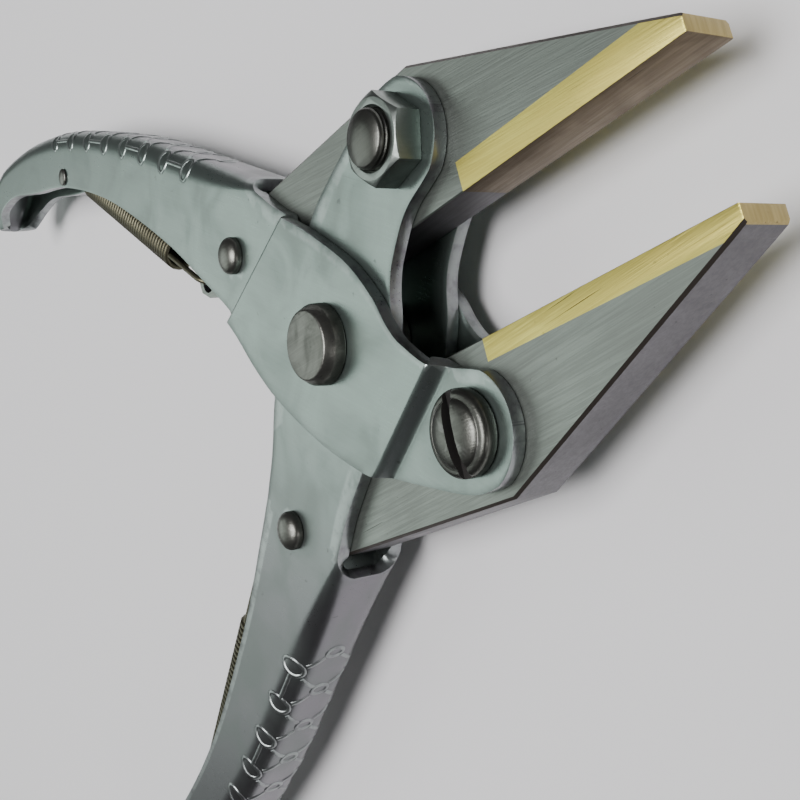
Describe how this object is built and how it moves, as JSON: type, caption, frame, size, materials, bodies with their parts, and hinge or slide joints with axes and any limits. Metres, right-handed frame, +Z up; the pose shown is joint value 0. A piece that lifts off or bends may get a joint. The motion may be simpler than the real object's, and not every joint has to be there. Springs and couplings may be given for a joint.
{
  "type": "parallel action pliers",
  "caption": "Parallel-action flat-nose pliers with brass-lined jaws, pressed channel handles, slotted screws, hex nuts and return springs in the handles.",
  "frame": {"origin": "centre of the centre rivet's lower flat face, on the handles' pivot axis", "axes": "+X to the jaw tips, +Y to the upper jaw, +Z up along the centre rivet; the pliers lie flat, stored open"},
  "size_m": [0.1479, 0.1228, 0.0162],
  "materials": {
    "plated_steel": "satin nickel-grey plating on pressed sheet steel",
    "jaw_steel": "ground steel with fine lengthwise scratches",
    "jaw_brass": "ground brass",
    "fastener_steel": "dull worn steel",
    "spring_steel": "oiled spring wire"
  },
  "bodies": {
    "outer_handle": {"outer_handle": "plated_steel", "outer_guide_pin": "fastener_steel", "outer_spring_pin": "plated_steel", "centre_rivet": "fastener_steel", "lower_pivot_screw": "fastener_steel", "lower_pivot_nut": "fastener_steel"},
    "inner_handle": {"inner_handle": "plated_steel", "inner_guide_pin": "fastener_steel", "inner_spring_pin": "plated_steel", "centre_bush": "fastener_steel", "upper_pivot_screw": "fastener_steel", "upper_pivot_nut": "fastener_steel"},
    "upper_jaw": {"upper_jaw": "jaw_steel", "upper_jaw_brass": "jaw_brass"},
    "lower_jaw": {"lower_jaw": "jaw_steel", "lower_jaw_brass": "jaw_brass"},
    "outer_spring": {"outer_spring_coil": "spring_steel"},
    "outer_spring_hook": {"outer_spring_hook": "spring_steel"},
    "inner_spring": {"inner_spring_coil": "spring_steel"},
    "inner_spring_hook": {"inner_spring_hook": "spring_steel"}
  },
  "joints": [
    {"name": "handles_close", "type": "hinge", "parent": "outer_handle", "child": "inner_handle", "pos_m": [0, 0, 0.00788], "axis": [0, 0, -1], "range_deg": [0, 38], "stiffness_Nm_per_rad": 0.12, "springref_deg": -28.65},
    {"name": "lower_jaw_pivot", "type": "hinge", "parent": "outer_handle", "child": "lower_jaw", "pos_m": [0.0169, -0.01388, 0.00788], "axis": [0, 0, -1], "range_deg": [0, 19]},
    {"name": "upper_jaw_pivot", "type": "hinge", "parent": "inner_handle", "child": "upper_jaw", "pos_m": [0.0169, 0.01388, 0.00788], "axis": [0, 0, 1], "range_deg": [0, 19]},
    {"name": "outer_spring_swing", "type": "hinge", "parent": "outer_handle", "child": "outer_spring", "pos_m": [-0.0612, 0.047, 0.00788], "axis": [0, 0, 1], "range_deg": [0, 9.2]},
    {"name": "outer_spring_stretch", "type": "slide", "parent": "outer_spring", "child": "outer_spring_hook", "axis": [0.7374, -0.6754, 0], "range_m": [0, 0.006], "deforming": ["outer_spring_coil"]},
    {"name": "inner_spring_swing", "type": "hinge", "parent": "inner_handle", "child": "inner_spring", "pos_m": [-0.0612, -0.047, 0.00788], "axis": [0, 0, -1], "range_deg": [0, 9.2]},
    {"name": "inner_spring_stretch", "type": "slide", "parent": "inner_spring", "child": "inner_spring_hook", "axis": [0.7374, 0.6754, 0], "range_m": [0, 0.006], "deforming": ["inner_spring_coil"]}
  ],
  "couplings": [
    {"joint": "lower_jaw_pivot", "follows": "handles_close", "ratio": 0.5},
    {"joint": "upper_jaw_pivot", "follows": "handles_close", "ratio": 0.5},
    {"joint": "outer_spring_swing", "follows": "handles_close", "ratio": 0.24},
    {"joint": "outer_spring_stretch", "follows": "handles_close", "m_per_rad": 0.0089},
    {"joint": "inner_spring_swing", "follows": "handles_close", "ratio": 0.24},
    {"joint": "inner_spring_stretch", "follows": "handles_close", "m_per_rad": 0.0089}
  ]
}
